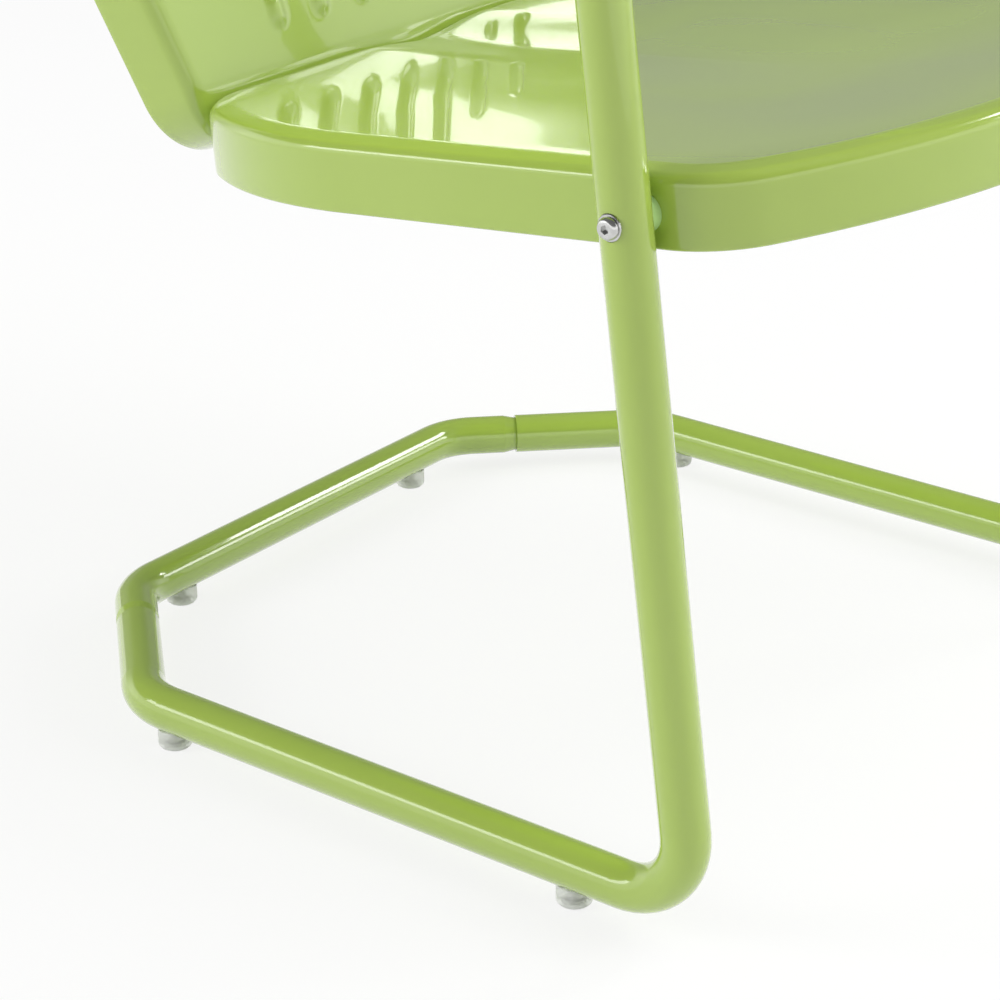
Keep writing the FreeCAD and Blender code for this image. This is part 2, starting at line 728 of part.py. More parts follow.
def glide(label, x, y, tube_axis):
    """Round cup under a tube, with a rounded foot and a recess for its screw."""
    blank = cylinder(
        label + "_blank", Vector(x, y, 0), Z_AXIS,
        Radius="Sizes.glide_diameter / 2", Height="Sizes.glide_height + Sizes.glide_seat",
    )
    doc.recompute()
    rounded = doc.addObject("Part::Fillet", label + "_foot")
    rounded.Base = blank
    rim = [i for i, edge in enumerate(blank.Shape.Edges, start=1)
           if edge.Closed and edge.BoundBox.ZMax < size("glide_height") / 2]
    rounded.Edges = [(i, size("glide_round"), size("glide_round")) for i in rim]
    saddle = cylinder(
        label + "_saddle", Vector(x, y, axis_height) - tube_axis * size("glide_diameter"), tube_axis,
        Radius=OUTER_RADIUS, Height="2 * Sizes.glide_diameter",
    )
    recess = cylinder(
        label + "_recess", Vector(x, y, 0), Z_AXIS,
        Radius="Sizes.glide_screw_head / 2 + Sizes.flange_gap",
        Height="Sizes.glide_recess + Sizes.glide_screw_head_height",
    )
    hole = cylinder(
        label + "_hole", Vector(x, y, 0), Z_AXIS,
        Radius="Sizes.glide_screw_diameter / 2", Height="Sizes.glide_height",
    )
    return node(cut(label, rounded, fuse(label + "_hollow", [saddle, recess, hole])), label)


def glide_screw(name, x, y):
    base = Vector(x, y, size("glide_recess"))
    head = cylinder(
        name + "_head", base, Z_AXIS,
        Radius="Sizes.glide_screw_head / 2", Height="Sizes.glide_screw_head_height",
    )
    shank = cylinder(
        name + "_shank", base, Z_AXIS,
        Radius="Sizes.glide_screw_diameter / 2",
        Height="Sizes.glide_screw_head_height + Sizes.glide_screw_length",
    )
    return fuse(name, [head, shank])


def glides():
    screws = []
    for name, side in SIDES:
        for spot, (x, y) in GLIDE_SPOTS.items():
            tube_axis = X_AXIS if spot == "cross" else Y_AXIS
            glide(f"{name}_{spot}_glide", side * x, y, tube_axis)
            screws.append(glide_screw(f"{name}_{spot}_screw", side * x, y))
    node(group("glide_screws", screws), "glide_screws")


def arm_plug(label, side):
    end = arm_end + X_AXIS * side * half_width
    stem = cylinder(
        label + "_stem", end, arm_axis * -1,
        Radius="Sizes.tube_diameter / 2 - Sizes.tube_wall - Sizes.plug_clearance",
        Height="Sizes.plug_length",
    )
    cap = cylinder(
        label + "_cap", end, arm_axis,
        Radius=OUTER_RADIUS, Height="Sizes.plug_flange",
    )
    return node(fuse(label, [stem, cap]), label)


# Assembly

seat_pan("seat_pan")
back_panel("back_panel")
rear_cross_tube("rear_cross_tube")
for side_name, side in SIDES:
    side_frame(f"{side_name}_side_frame", side)
    side_fastening("seat", side_name, side, seat_bolt, upright_axis, "seat_half_width")
    side_fastening("arm", side_name, side, arm_bolt, arm_axis, "back_half_width")
    arm_plug(f"{side_name}_arm_plug", side)
foot_fastenings()
glides()
doc.recompute()

# Check and write every sub-part

for item in doc.Objects:
    if "Invalid" in item.State or "Error" in item.State:
        raise RuntimeError(f"{item.Label} failed: {item.State}")
os.makedirs("parts", exist_ok=True)
for item in NODES:
    if item.Shape.isNull() or not item.Shape.isValid():
        raise RuntimeError(f"{item.Label} has no valid shape")
for item in NODES:
    item.Shape.exportStep(f"parts/{item.Label}.step")
    print(item.Label, "solids", len(item.Shape.Solids), "volume", round(item.Shape.Volume, 1))
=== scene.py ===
import json
import math

import bpy
from mathutils import Matrix, Vector


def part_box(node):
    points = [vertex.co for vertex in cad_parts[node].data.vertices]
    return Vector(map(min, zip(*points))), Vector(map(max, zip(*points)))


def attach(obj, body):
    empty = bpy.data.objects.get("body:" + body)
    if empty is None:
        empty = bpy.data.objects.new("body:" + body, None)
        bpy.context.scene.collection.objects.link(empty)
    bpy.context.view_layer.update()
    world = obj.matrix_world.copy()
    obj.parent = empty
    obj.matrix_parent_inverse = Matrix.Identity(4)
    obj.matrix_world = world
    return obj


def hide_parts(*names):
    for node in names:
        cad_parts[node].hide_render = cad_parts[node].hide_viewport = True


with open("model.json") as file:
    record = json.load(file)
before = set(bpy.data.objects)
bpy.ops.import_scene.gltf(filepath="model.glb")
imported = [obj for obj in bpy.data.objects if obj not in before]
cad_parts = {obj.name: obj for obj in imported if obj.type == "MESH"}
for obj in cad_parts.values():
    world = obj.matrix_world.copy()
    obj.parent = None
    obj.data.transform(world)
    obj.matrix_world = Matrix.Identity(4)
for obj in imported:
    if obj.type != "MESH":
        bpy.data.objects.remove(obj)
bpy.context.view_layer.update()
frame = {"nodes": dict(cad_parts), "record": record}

BODY = "root"
MM = 0.001

# Sizes shared with the construction, in metres
SHEET = 1.2 * MM
SEAT_HALF_WIDTH = 235 * MM
SEAT_LENGTH = 428 * MM
SEAT_SKIRT = 37 * MM
SEAT_SLOPE = math.radians(6.04)
SEAT_REAR = Vector((0, 104 * MM, 314.1 * MM))
SEAT_RIM_RADIUS = 6.5 * MM
SEAT_RIM_WIDTH = 13.5 * MM
SEAT_FRONT_BOW = 424 * MM
SEAT_FRONT_CORNER = 50 * MM
SEAT_REAR_CORNER = 55 * MM
SEAT_CORNER_ACROSS = 80 * MM
SEAT_CORNER_ALONG = 135 * MM
BACK_RECLINE = math.radians(20)
# A tenth of a millimetre less than in the construction, so that the sheet stays inside its box
BACK_HEIGHT = 547.4 * MM
BACK_FOLD_RISE = 5.5 * MM
BACK_FOOT = 35 * MM
BACK_FOOT_HALF_WIDTH = 187.5 * MM
BACK_HALF_WIDTH = 235 * MM
BACK_FOOT_CORNER = 42 * MM
BACK_TAPER = math.radians(12)
BACK_SIDE_BEND = 250 * MM
BACK_SHOULDER = 150 * MM
BACK_CROWN = 480 * MM
BACK_SKIRT = 40 * MM
BACK_EDGE_RADIUS = 9 * MM
FLANGE_GAP = 0.3 * MM


# Outlines

class Line:
    """Straight run with its outward normal."""

    def __init__(self, start, end, outward):
        self.start = Vector(start)
        self.end = Vector(end)
        self.outward = Vector(outward)
        self.length = (self.end - self.start).length

    def at(self, share):
        return self.start.lerp(self.end, share), self.outward


class Arc:
    """Round run between two angles, whose outward normal points away from its center."""

    def __init__(self, center, radius, start_angle, end_angle):
        self.center = Vector(center)
        self.radius = radius
        self.start_angle = start_angle
        self.turn = end_angle - start_angle
        self.length = radius * abs(self.turn)

    def at(self, share):
        angle = self.start_angle + self.turn * share
        outward = Vector((math.cos(angle), math.sin(angle)))
        return self.center + outward * self.radius, outward


class Outline:
    """Closed loop of straight and round runs, mirrored about x = 0, sampled evenly."""

    def __init__(self, runs):
        self.runs = runs
        self.half = sum(run.length for run in runs)

    def half_point(self, distance):
        """Point and outward normal at a distance along the +X half."""
        for run in self.runs:
            if distance <= run.length:
                return run.at(distance / run.length)
            distance -= run.length
        return self.runs[-1].at(1.0)

    def samples(self, count):
        """Points and normals all the way round, clockwise seen from the front of the sheet."""
        found = []
        for i in range(count):
            distance = 2 * self.half * i / count
            mirrored = distance > self.half
            point, normal = self.half_point(2 * self.half - distance if mirrored else distance)
            if mirrored:
                point = Vector((-point.x, point.y))
                normal = Vector((-normal.x, normal.y))
            found.append((point, normal))
        return found


def seat_outline():
    across = SEAT_CORNER_ACROSS
    along = SEAT_CORNER_ALONG
    tight = SEAT_REAR_CORNER
    wide = (2 * along * tight - across ** 2 - along ** 2) / (2 * tight - 2 * across)
    side_x = SEAT_HALF_WIDTH
    tight_center = Vector((side_x - across, -tight))
    wide_center = Vector((side_x - wide, -along))
    join = tight_center - wide_center
    join_angle = math.atan2(join.y, join.x)
    bow_center = Vector((0, SEAT_FRONT_BOW - SEAT_LENGTH))
    corner_x = side_x - SEAT_FRONT_CORNER
    corner_drop = math.sqrt((SEAT_FRONT_BOW - SEAT_FRONT_CORNER) ** 2 - corner_x ** 2)
    corner_center = Vector((corner_x, bow_center.y - corner_drop))
    corner_angle = math.atan2(-corner_drop, corner_x)
    return Outline([
        Line((0, 0), (side_x - across, 0), (0, 1)),
        Arc(tight_center, tight, math.pi / 2, join_angle),
        Arc(wide_center, wide, join_angle, 0),
        Line((side_x, -along), (side_x, corner_center.y), (1, 0)),
        Arc(corner_center, SEAT_FRONT_CORNER, 0, corner_angle),
        Arc(bow_center, SEAT_FRONT_BOW, corner_angle, -math.pi / 2),
    ])


def back_outline():
    side_x = BACK_HALF_WIDTH
    outward = Vector((math.cos(BACK_TAPER), -math.sin(BACK_TAPER)))
    foot_round = BACK_FOOT_CORNER
    foot_center = Vector((BACK_FOOT_HALF_WIDTH - foot_round, foot_round))
    bend = BACK_SIDE_BEND
    bend_x = side_x - bend
    shift = bend_x - foot_center.x + (bend - foot_round) * outward.x
    bend_y = foot_round - (bend - foot_round) * outward.y + shift / math.tan(BACK_TAPER)
    bend_center = Vector((bend_x, bend_y))
    crown_center = Vector((0, BACK_HEIGHT - BACK_CROWN))
    shoulder_x = side_x - BACK_SHOULDER
    shoulder_rise = math.sqrt((BACK_CROWN - BACK_SHOULDER) ** 2 - shoulder_x ** 2)
    shoulder_center = Vector((shoulder_x, crown_center.y + shoulder_rise))
    shoulder_angle = math.atan2(shoulder_rise, shoulder_x)
    return Outline([
        Arc(crown_center, BACK_CROWN, math.pi / 2, shoulder_angle),
        Arc(shoulder_center, BACK_SHOULDER, shoulder_angle, 0),
        Line((side_x, shoulder_center.y), (side_x, bend_y), (1, 0)),
        Arc(bend_center, bend, 0, -BACK_TAPER),
        Line(bend_center + outward * bend, foot_center + outward * foot_round, outward),
        Arc(foot_center, foot_round, -BACK_TAPER, -math.pi / 2),
        Line((foot_center.x, 0), (0, 0), (0, -1)),
    ])


# Sheets built from rings

SHARP_ANGLE = math.radians(40)
# Inner lip of a turned hem, as shares of the hem's radius: inset and height
HEM_LIP = ((2.2, 0.55), (1.5, 0.2))
HEM_STEPS = 4
SKIRT_STEPS = 7
ROUND_STEPS = 8


def smooth(low, high, value):
    """0 below a range, 1 above it and a smooth rise between."""
    share = min(1.0, max(0.0, (value - low) / (high - low)))
    return share * share * (3 - 2 * share)


def hump(share):
    """1 in the middle of a swelling, falling smoothly to 0 at its foot, where the share is 1."""
    return math.cos(math.pi / 2 * min(1.0, share)) ** 2


def ring_mesh(name, rings, cap_first=False, cap_last=False):
    """Quads between closed rings of equal length, with the ends closed to their middles where asked."""
    count = len(rings[0])
    points = [point for ring in rings for point in ring]
    faces = []
    for r in range(len(rings) - 1):
        for i in range(count):
            j = (i + 1) % count
            faces.append((r * count + j, r * count + i, (r + 1) * count + i, (r + 1) * count + j))
    if cap_last:
        last = (len(rings) - 1) * count
        faces += [(last + (i + 1) % count, last + i, len(points)) for i in range(count)]
        points.append(sum(rings[-1], Vector((0, 0, 0))) / count)
    if cap_first:
        faces += [(i, (i + 1) % count, len(points)) for i in range(count)]
        points.append(sum(rings[0], Vector((0, 0, 0))) / count)
    mesh = bpy.data.meshes.new(name)
    mesh.from_pydata(points, [], faces)
    mesh.validate()
    mesh.polygons.foreach_set("use_smooth", [True] * len(mesh.polygons))
    mesh.set_sharp_from_angle(angle=SHARP_ANGLE)
    piece = bpy.data.objects.new(name, mesh)
    bpy.context.collection.objects.link(piece)
    return piece


def thicken(piece, thickness):
    solid = piece.modifiers.new("sheet", "SOLIDIFY")
    solid.thickness = thickness
    solid.offset = -1
    solid.use_even_offset = True


def edge_profile(straight, radius, turn, hem):
    """Pairs of inset and height, from the turned hem, up the skirt and over the round towards the face."""
    pairs = [(hem * inset, hem * height) for inset, height in HEM_LIP]
    for i in range(HEM_STEPS + 1):
        angle = math.pi / 2 * i / HEM_STEPS
        pairs.append((hem - hem * math.sin(angle), hem - hem * math.cos(angle)))
    for i in range(1, SKIRT_STEPS + 1):
        pairs.append((0, hem + (straight - hem) * i / SKIRT_STEPS))
    for i in range(1, ROUND_STEPS + 1):
        angle = turn * i / ROUND_STEPS
        pairs.append((radius - radius * math.cos(angle), straight + radius * math.sin(angle)))
    return pairs


# Seat

SEAT_AROUND = 800
SEAT_RINGS = 110
# Above 1, the rings lie closer together near the crease
SEAT_RING_CROWDING = 1.15
SEAT_MIDDLE = Vector((0, -SEAT_LENGTH / 2))
SEAT_HEM = 2.0 * MM
SEAT_RIM_STEPS = 3
SEAT_RIM_FALL = math.radians(11)
SEAT_CREASE_RISE = 0.7 * MM
SEAT_CREST = SEAT_SKIRT + SEAT_CREASE_RISE
DISH_DEPTH = 7.2 * MM
DISH_FLAT_SHARE = 0.37
DISH_SQUARENESS = 4
LOBE_MIDDLE = Vector((115 * MM, -129 * MM))
LOBE_INNER_REACH = 130 * MM
LOBE_FRONT_REACH = 300 * MM
LOBE_RISE = 4.2 * MM
VALLEY_DEPTH = 4.9 * MM
VALLEY_HALF_WIDTH = 58 * MM
VALLEY_START = 20 * MM
VALLEY_LENGTH = 155 * MM


def dish_height(x, y):
    """Shallow dish with a flat middle, nearly rectangular in plan."""
    across = abs(x) / (SEAT_HALF_WIDTH - SEAT_RIM_WIDTH)
    along = abs(y - SEAT_MIDDLE.y) / (SEAT_LENGTH / 2 - SEAT_RIM_WIDTH)
    share = (across ** DISH_SQUARENESS + along ** DISH_SQUARENESS) ** (1 / DISH_SQUARENESS)
    return -DISH_DEPTH * smooth(0, 1 - DISH_FLAT_SHARE, 1 - share)


def lobe_height(x, y):
    """Low swelling on each side of the rear that ends at the crease."""
    beside = abs(x) - LOBE_MIDDLE.x
    ahead = LOBE_MIDDLE.y - y
    outer_reach = SEAT_HALF_WIDTH - SEAT_RIM_WIDTH - LOBE_MIDDLE.x
    rear_reach = -LOBE_MIDDLE.y - SEAT_RIM_WIDTH
    across = beside / (outer_reach if beside > 0 else LOBE_INNER_REACH)
    along = ahead / (LOBE_FRONT_REACH if ahead > 0 else rear_reach)
    return LOBE_RISE * hump(math.hypot(across, along))


def valley_height(x, y):
    """Dip in the middle of the rear rim that runs out towards the front."""
    return -VALLEY_DEPTH * hump(abs(x) / VALLEY_HALF_WIDTH) * (1 - smooth(VALLEY_START, VALLEY_LENGTH, -y))


def seat_relief(x, y):
    return dish_height(x, y) + lobe_height(x, y) + valley_height(x, y)


def seat_edge_point(point, normal, inset, height):
    """Point of the hem, skirt or rim, which dips with the valley."""
    spot = point - normal * inset
    dip = valley_height(spot.x, spot.y) * height / SEAT_SKIRT
    return Vector((*spot, height + dip))


def seat_profile():
    """Pairs of inset and height, from the hem over the round and up the sloping rim to the crease."""
    flat_start = SEAT_RIM_RADIUS * (1 - math.sin(SEAT_RIM_FALL))
    flat_width = SEAT_RIM_WIDTH - flat_start
    flat_fall = flat_width * math.tan(SEAT_RIM_FALL)
    straight = SEAT_CREST - flat_fall - SEAT_RIM_RADIUS * math.cos(SEAT_RIM_FALL)
    pairs = edge_profile(straight, SEAT_RIM_RADIUS, math.pi / 2 - SEAT_RIM_FALL, SEAT_HEM)
    for i in range(1, SEAT_RIM_STEPS + 1):
        share = i / SEAT_RIM_STEPS
        pairs.append((flat_start + flat_width * share, SEAT_CREST - flat_fall * (1 - share)))
    return pairs


def seat_pan():
    around = seat_outline().samples(SEAT_AROUND)
    rings = []
    for inset, height in seat_profile():
        rings.append([seat_edge_point(point, normal, inset, height) for point, normal in around])
    crease = [point - normal * SEAT_RIM_WIDTH for point, normal in around]
    for i in range(1, SEAT_RINGS):
        share = 1 - (i / SEAT_RINGS) ** SEAT_RING_CROWDING
        ring = []
        for point in crease:
            x, y = SEAT_MIDDLE + (point - SEAT_MIDDLE) * share
            ring.append(Vector((x, y, SEAT_CREST + seat_relief(x, y))))
        rings.append(ring)
    piece = ring_mesh("seat_pan_sheet", rings, cap_last=True)
    piece.data.transform(Matrix.Translation(SEAT_REAR) @ Matrix.Rotation(-SEAT_SLOPE, 4, "X"))
    thicken(piece, SHEET)
    return piece


# Back

BACK_AROUND = 900
BACK_RINGS = 130
BACK_MIDDLE = Vector((0, 270 * MM))
BACK_HEM = 2.0 * MM
BACK_FOLD_SOFTNESS = 5 * MM
# Flutes as they show on the face, counted from the middle
BACK_FLUTES = (-3, -2, -1, 0, 1, 2, 3)
BACK_FLUTE_PITCH = 36 * MM
BACK_FLUTE_LENGTH = 101 * MM
BACK_FLUTE_STEP = 25 * MM
BACK_FLUTE_FOOT = 50 * MM
BACK_FLUTE_RISE = 2.5 * MM
BACK_FLUTE_HALF_WIDTH = 9 * MM


def back_flute_height(x, y):
    """Upright ridges side by side, longest in the middle."""
    height = 0.0
    for i in BACK_FLUTES:
        length = BACK_FLUTE_LENGTH - abs(i) * BACK_FLUTE_STEP
        foot = BACK_FLUTE_FOOT + BACK_FLUTE_HALF_WIDTH
        top = BACK_FLUTE_FOOT + length - BACK_FLUTE_HALF_WIDTH
        nearest_y = min(max(y, foot), top)
        distance = math.hypot(x - i * BACK_FLUTE_PITCH, y - nearest_y)
        height = max(height, BACK_FLUTE_RISE * hump(distance / BACK_FLUTE_HALF_WIDTH))
    return height


def fold_depth(y):
    """How far the foot stands behind the plane of the face, with a soft bend at the fold."""
    below = BACK_FOOT - y
    return math.tan(BACK_RECLINE - SEAT_SLOPE) * (math.hypot(below, BACK_FOLD_SOFTNESS) + below) / 2


def back_placement():
    """From the back's own plane to the chair: foot just behind the seat's rear skirt, face leaning."""
    to_seat = Matrix.Rotation(-SEAT_SLOPE, 3, "X")
    fold = SEAT_REAR + to_seat @ Vector((0, FLANGE_GAP, SEAT_SKIRT + BACK_FOLD_RISE))
    up = Vector((0, math.sin(BACK_RECLINE), math.cos(BACK_RECLINE)))
    tilt = Matrix.Rotation(math.pi / 2 - BACK_RECLINE, 4, "X")
    return Matrix.Translation(fold - up * BACK_FOOT) @ tilt


def back_panel():
    around = back_outline().samples(BACK_AROUND)
    rings = []
    straight = BACK_SKIRT - BACK_EDGE_RADIUS
    for inset, height in edge_profile(straight, BACK_EDGE_RADIUS, math.pi / 2, BACK_HEM):
        ring = []
        for point, normal in around:
            x, y = point - normal * inset
            ring.append(Vector((x, y, height - BACK_SKIRT - fold_depth(y) * height / BACK_SKIRT)))
        rings.append(ring)
    inner = [point - normal * BACK_EDGE_RADIUS for point, normal in around]
    for i in range(1, BACK_RINGS):
        share = 1 - i / BACK_RINGS
        ring = []
        for point in inner:
            x, y = BACK_MIDDLE + (point - BACK_MIDDLE) * share
            ring.append(Vector((x, y, back_flute_height(x, y) - fold_depth(y))))
        rings.append(ring)
    piece = ring_mesh("back_panel_sheet", rings, cap_last=True)
    piece.data.transform(back_placement())
    thicken(piece, SHEET)
    return piece


# Bolts and washers

BOLT_RADIUS = 3.0 * MM
BOLT_HEAD_RADIUS = 5.5 * MM
BOLT_HEAD_HEIGHT = 3.3 * MM
BOLT_HEAD_FLAT = 3.2 * MM
BOLT_DOME_STEPS = 8
BOLT_EDGE = 0.4 * MM
BOLT_SOCKET = 4.0 * MM
BOLT_SOCKET_DEPTH = 2.0 * MM
WASHER_HOLE = 3.3 * MM
WASHER_EDGE = 0.3 * MM
TURNED_SIDES = 72
HEXAGON_STEP = math.pi / 3


def turned_ring(radius, height):
    """Circle about +Z."""
    ring = []
    for i in range(TURNED_SIDES):
        angle = -2 * math.pi * i / TURNED_SIDES
        ring.append(Vector((radius * math.cos(angle), radius * math.sin(angle), height)))
    return ring


def socket_ring(height):
    """Hexagon about +Z."""
    ring = turned_ring(1.0, height)
    for point in ring:
        angle = math.atan2(point.y, point.x)
        reach = BOLT_SOCKET / 2 / math.cos(angle % HEXAGON_STEP - HEXAGON_STEP / 2)
        point.x *= reach
        point.y *= reach
    return ring


def turned_piece(node, rings, closed):
    """Turned mesh in a node's box: height 0 of the rings is the end away from the middle of the chair."""
    piece = ring_mesh(node + "_turned", rings, cap_first=closed, cap_last=closed)
    low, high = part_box(node)
    side = 1 if low.x + high.x > 0 else -1
    outer_end = high.x if side > 0 else low.x
    place = Vector((outer_end, (low.y + high.y) / 2, (low.z + high.z) / 2))
    piece.data.transform(Matrix.Translation(place) @ Matrix.Rotation(side * math.pi / 2, 4, "Y"))
    return piece


def button_bolt(node):
    """Bolt with a domed head and a hexagon socket."""
    low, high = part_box(node)
    tail = low.x - high.x
    under_head = -BOLT_HEAD_HEIGHT
    pairs = [
        (BOLT_RADIUS - BOLT_EDGE, tail),
        (BOLT_RADIUS, tail + BOLT_EDGE),
        (BOLT_RADIUS, under_head),
        (BOLT_HEAD_RADIUS - BOLT_EDGE, under_head),
        (BOLT_HEAD_RADIUS, under_head + BOLT_EDGE),
    ]
    for i in range(1, BOLT_DOME_STEPS + 1):
        angle = math.pi / 2 * i / BOLT_DOME_STEPS
        radius = BOLT_HEAD_FLAT + (BOLT_HEAD_RADIUS - BOLT_HEAD_FLAT) * math.cos(angle)
        pairs.append((radius, (BOLT_HEAD_HEIGHT - BOLT_EDGE) * (math.sin(angle) - 1)))
    rings = [turned_ring(radius, height) for radius, height in pairs]
    rings += [socket_ring(0), socket_ring(-BOLT_SOCKET_DEPTH)]
    return turned_piece(node, rings, True)


def plain_washer(node):
    """Flat ring with small chamfers on its outer edges."""
    low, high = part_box(node)
    thickness = high.x - low.x
    outer = (high.y - low.y) / 2
    pairs = [
        (WASHER_HOLE, 0),
        (WASHER_HOLE, -thickness),
        (outer - WASHER_EDGE, -thickness),
        (outer, WASHER_EDGE - thickness),
        (outer, -WASHER_EDGE),
        (outer - WASHER_EDGE, 0),
        (WASHER_HOLE, 0),
    ]
    return turned_piece(node, [turned_ring(radius, height) for radius, height in pairs], False)


# Shader nodes

WHITE = (1, 1, 1, 1)
# The stretch of a noise texture's values over which tone and roughness change
NOISE_RANGE = (0.3, 0.7)
CLOUD_DETAIL = 3
GRAIN_DETAIL = 2


def feed(links, source, socket):
    """Give an input a plain value, or link it to an output."""
    if isinstance(source, bpy.types.NodeSocket):
        links.new(source, socket)
    else:
        socket.default_value = source


def noise(nodes, links, coordinate, scale, detail):
    texture = nodes.new("ShaderNodeTexNoise")
    texture.inputs["Scale"].default_value = scale
    texture.inputs["Detail"].default_value = detail
    links.new(coordinate, texture.inputs["Vector"])
    return texture.outputs["Fac"]


def blended(nodes, links, factor, colours):
    """Colour ramp between two colours."""
    ramp = nodes.new("ShaderNodeValToRGB")
    for element, position, colour in zip(ramp.color_ramp.elements, NOISE_RANGE, colours):
        element.position = position
        element.color = (*colour, 1)
    links.new(factor, ramp.inputs["Fac"])
    return ramp.outputs["Color"]


def ranged(nodes, links, value, value_range, low, high, interpolation="LINEAR"):
    """Change from one level to another while a value crosses its range."""
    change = nodes.new("ShaderNodeMapRange")
    change.interpolation_type = interpolation
    change.inputs["From Min"].default_value = value_range[0]
    change.inputs["From Max"].default_value = value_range[1]
    feed(links, low, change.inputs["To Min"])
    feed(links, high, change.inputs["To Max"])
    links.new(value, change.inputs["Value"])
    return change.outputs["Result"]


def bumped(nodes, links, height, strength, distance):
    bump = nodes.new("ShaderNodeBump")
    bump.inputs["Strength"].default_value = strength
    bump.inputs["Distance"].default_value = distance
    links.new(height, bump.inputs["Height"])
    return bump.outputs["Normal"]


# Materials

def surface(name, tones, roughness, cloud_scale, grain_scale, grain_strength, grain_depth):
    """Two close tones in soft clouds, a roughness that changes with them and a fine grain."""
    material = bpy.data.materials.new(name)
    material.use_nodes = True
    nodes = material.node_tree.nodes
    links = material.node_tree.links
    shader = nodes["Principled BSDF"]
    place = nodes.new("ShaderNodeTexCoord").outputs["Object"]
    clouds = noise(nodes, links, place, cloud_scale, CLOUD_DETAIL)
    grain = noise(nodes, links, place, grain_scale, GRAIN_DETAIL)
    links.new(blended(nodes, links, clouds, tones), shader.inputs["Base Color"])
    links.new(ranged(nodes, links, clouds, NOISE_RANGE, *roughness), shader.inputs["Roughness"])
    links.new(bumped(nodes, links, grain, grain_strength, grain_depth), shader.inputs["Normal"])
    return material, shader


def green_paint():
    material, shader = surface(
        "green_enamel", tones=((0.360, 0.500, 0.072), (0.378, 0.518, 0.082)), roughness=(0.15, 0.20),
        cloud_scale=9, grain_scale=420, grain_strength=0.04, grain_depth=0.4 * MM,
    )
    shader.inputs["Specular IOR Level"].default_value = 0.55
    shader.inputs["Coat Weight"].default_value = 1.0
    shader.inputs["Coat Roughness"].default_value = 0.03
    return material


def stainless_steel():
    material, shader = surface(
        "stainless_steel", tones=((0.56, 0.56, 0.55), (0.66, 0.66, 0.65)), roughness=(0.16, 0.28),
        cloud_scale=260, grain_scale=2400, grain_strength=0.1, grain_depth=0.2 * MM,
    )
    shader.inputs["Metallic"].default_value = 1.0
    return material


def clear_plastic():
    material, shader = surface(
        "clear_plastic", tones=((0.82, 0.84, 0.80), (0.90, 0.92, 0.88)), roughness=(0.28, 0.36),
        cloud_scale=120, grain_scale=900, grain_strength=0.08, grain_depth=0.3 * MM,
    )
    shader.inputs["Transmission Weight"].default_value = 0.5
    return material


def pale_green_plastic():
    material, shader = surface(
        "pale_green_plastic", tones=((0.47, 0.72, 0.26), (0.50, 0.75, 0.29)), roughness=(0.30, 0.40),
        cloud_scale=90, grain_scale=1400, grain_strength=0.1, grain_depth=0.3 * MM,
    )
    shader.inputs["Specular IOR Level"].default_value = 0.45
    return material


def green_plastic():
    material, shader = surface(
        "green_plastic", tones=((0.33, 0.46, 0.09), (0.36, 0.49, 0.10)), roughness=(0.40, 0.52),
        cloud_scale=80, grain_scale=1200, grain_strength=0.12, grain_depth=0.3 * MM,
    )
    shader.inputs["Specular IOR Level"].default_value = 0.4
    return material


def pale_floor():
    material, shader = surface(
        "pale_floor", tones=((0.93, 0.93, 0.93), (0.95, 0.95, 0.95)), roughness=(0.7, 0.8),
        cloud_scale=2, grain_scale=60, grain_strength=0.02, grain_depth=0.5 * MM,
    )
    shader.inputs["Specular IOR Level"].default_value = 0.2
    return material, shader


FINISHES = {
    "green_paint": green_paint(),
    "stainless_steel": stainless_steel(),
    "clear_plastic": clear_plastic(),
    "pale_green_plastic": pale_green_plastic(),
    "green_plastic": green_plastic(),
}


def dress_construction():
    """Give every construction piece the finish of its slot."""
    slots = {row["node"]: row["material_slot"] for row in frame["record"]["subparts"]}
    for name, piece in frame["nodes"].items():
        finish = FINISHES[slots[name]]
        for material_slot in piece.material_slots:
            material_slot.material = finish


def add_piece(piece, node, slot):
    piece.data.materials.append(FINISHES[slot])
    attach(piece, BODY)
    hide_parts(node)


# Floor

FLOOR_HALF = 6.0
# How far the floor is blended towards white where it is seen
FLOOR_WHITENESS = 0.8


def brighten_where_seen(material, shader, share):
    """Blend a surface towards white in the picture and in reflections; its shadows stay but are light."""
    nodes = material.node_tree.nodes
    links = material.node_tree.links
    white = nodes.new("ShaderNodeEmission")
    white.inputs["Color"].default_value = WHITE
    white.inputs["Strength"].default_value = 1.0
    rays = nodes.new("ShaderNodeLightPath")
    seen = rays.outputs["Is Camera Ray"]
    for ray in ("Is Glossy Ray", "Is Transmission Ray"):
        either = nodes.new("ShaderNodeMath")
        either.operation = "MAXIMUM"
        links.new(seen, either.inputs[0])
        links.new(rays.outputs[ray], either.inputs[1])
        seen = either.outputs[0]
    amount = nodes.new("ShaderNodeMath")
    amount.operation = "MULTIPLY"
    amount.inputs[1].default_value = share
    mix = nodes.new("ShaderNodeMixShader")
    links.new(seen, amount.inputs[0])
    links.new(amount.outputs[0], mix.inputs["Fac"])
    links.new(shader.outputs[0], mix.inputs[1])
    links.new(white.outputs[0], mix.inputs[2])
    links.new(mix.outputs[0], nodes["Material Output"].inputs["Surface"])


def floor():
    half = FLOOR_HALF
    mesh = bpy.data.meshes.new("floor")
    corners = [(-half, -half, 0), (half, -half, 0), (half, half, 0), (-half, half, 0)]
    mesh.from_pydata(corners, [], [(0, 1, 2, 3)])
    item = bpy.data.objects.new("floor", mesh)
    bpy.context.collection.objects.link(item)
    material, shader = pale_floor()
    brighten_where_seen(material, shader, FLOOR_WHITENESS)
    mesh.materials.append(material)


# Studio

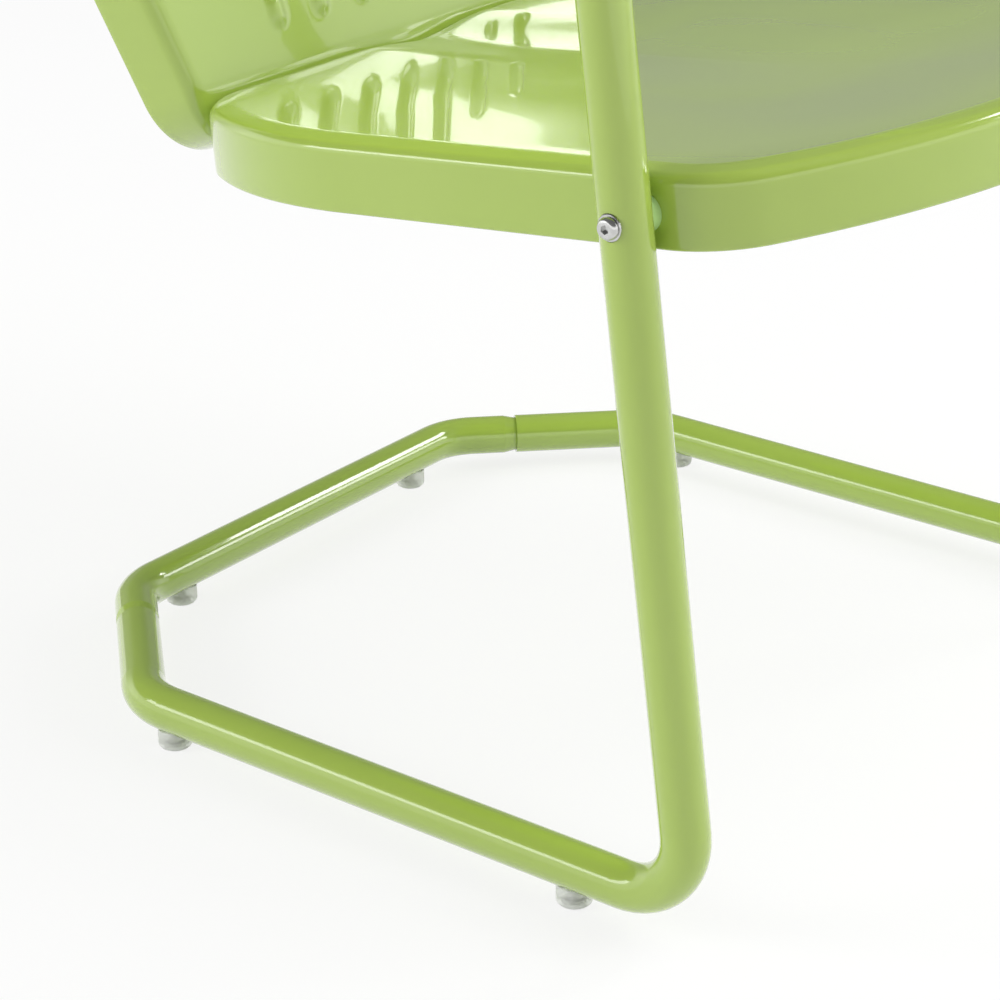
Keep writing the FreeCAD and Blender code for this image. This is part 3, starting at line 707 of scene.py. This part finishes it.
# Levels at which 1 is white: the even light, and the walls and ceiling that reflections show
SOFT_LEVEL = 0.48
WALL_LEVEL = 1.40
FAR_LEVEL = 0.33
CEILING_LEVEL = 0.18
SHOWN_LEVEL = 1.0
# Rise of a direction over which the walls turn into the ceiling
CEILING_RANGE = (0.27, 0.40)
# Direction of the dimmer wall, and how nearly a direction points there where it starts and is full
FAR_SIDE = (0.8, 0.6, 0.0)
FAR_RANGE = (0.45, 0.85)


def mirrored_level(nodes, links):
    """Level that a reflection shows in each direction."""
    direction = nodes.new("ShaderNodeTexCoord").outputs["Generated"]
    height = nodes.new("ShaderNodeSeparateXYZ")
    links.new(direction, height.inputs[0])
    facing = nodes.new("ShaderNodeVectorMath")
    facing.operation = "DOT_PRODUCT"
    facing.inputs[1].default_value = FAR_SIDE
    links.new(direction, facing.inputs[0])
    wall = ranged(nodes, links, facing.outputs["Value"], FAR_RANGE, WALL_LEVEL, FAR_LEVEL, "SMOOTHSTEP")
    return ranged(nodes, links, height.outputs["Z"], CEILING_RANGE, wall, CEILING_LEVEL, "SMOOTHSTEP")


def background(nodes, links, level):
    shade = nodes.new("ShaderNodeBackground")
    shade.inputs["Color"].default_value = WHITE
    feed(links, level, shade.inputs["Strength"])
    return shade.outputs[0]


def studio_world():
    """White to the camera, a soft even light, and in reflections pale walls under a darker ceiling.

    The wall behind the chair, as the camera sees it, is dimmer than the others."""
    world = bpy.data.worlds.new("studio")
    bpy.context.scene.world = world
    world.use_nodes = True
    nodes = world.node_tree.nodes
    links = world.node_tree.links
    rays = nodes.new("ShaderNodeLightPath")
    levels = (
        ("Is Glossy Ray", mirrored_level(nodes, links)),
        ("Is Transmission Ray", SHOWN_LEVEL),
        ("Is Camera Ray", SHOWN_LEVEL),
    )
    shown = background(nodes, links, SOFT_LEVEL)
    for ray, level in levels:
        mix = nodes.new("ShaderNodeMixShader")
        links.new(rays.outputs[ray], mix.inputs["Fac"])
        links.new(shown, mix.inputs[1])
        links.new(background(nodes, links, level), mix.inputs[2])
        shown = mix.outputs[0]
    links.new(shown, nodes["World Output"].inputs["Surface"])


# Lights

CHAIR_TARGET = (0, 0.1, 0.4)
SEAT_TARGET = (0.1, -0.25, 0.4)


def area_light(name, place, width, height, power, target=CHAIR_TARGET, mirrored=True):
    """Rectangular softbox aimed at a target; one that isn't mirrored stays out of reflections."""
    data = bpy.data.lights.new(name, "AREA")
    data.shape = "RECTANGLE"
    data.size = width
    data.size_y = height
    data.energy = power
    item = bpy.data.objects.new(name, data)
    item.location = place
    item.rotation_euler = (Vector(target) - Vector(place)).to_track_quat("-Z", "Y").to_euler()
    item.visible_glossy = mirrored
    bpy.context.collection.objects.link(item)


def lights():
    area_light("key_softbox", place=(4.39, -1.96, 3.93), width=1.16, height=1.35, power=54)
    area_light("right_strip", place=(4.45, -3.80, 3.0), width=1.5, height=1.0, power=30)
    area_light("left_strip", place=(-2.6, 2.0, 1.5), width=2.0, height=0.6, power=16)
    area_light("left_fill", place=(-2.6, 2.2, 1.6), width=1.6, height=1.6, power=46, mirrored=False)
    area_light("right_fill", place=(1.4, -2.8, 2.4), width=1.6, height=1.6, power=38, mirrored=False)
    area_light(
        "top_fill", place=(0.5, -0.9, 2.2), width=1.2, height=1.2, power=14,
        target=SEAT_TARGET, mirrored=False,
    )


# Camera

CAMERA_PLACE = Vector((-1.2783, -0.9188, 0.7783))
CAMERA_LOOK_DOWN = math.radians(23.83)
CAMERA_HEADING = math.radians(-52.93)
CAMERA_SENSOR = 36.0
CAMERA_LENS = 2.909 * CAMERA_SENSOR


def camera():
    data = bpy.data.cameras.new("camera")
    data.sensor_width = CAMERA_SENSOR
    data.lens = CAMERA_LENS
    item = bpy.data.objects.new("camera", data)
    item.location = CAMERA_PLACE
    item.rotation_euler = (math.pi / 2 - CAMERA_LOOK_DOWN, 0, CAMERA_HEADING)
    bpy.context.collection.objects.link(item)
    bpy.context.scene.camera = item


# Assembly

dress_construction()
add_piece(seat_pan(), "seat_pan", "green_paint")
add_piece(back_panel(), "back_panel", "green_paint")
for side in ("left", "right"):
    for place in ("seat", "arm"):
        bolt = f"{side}_{place}_bolt"
        washer = f"{side}_{place}_washer"
        add_piece(button_bolt(bolt), bolt, "stainless_steel")
        add_piece(plain_washer(washer), washer, "stainless_steel")
floor()
studio_world()
lights()
camera()
bpy.context.scene.view_settings.view_transform = "Standard"
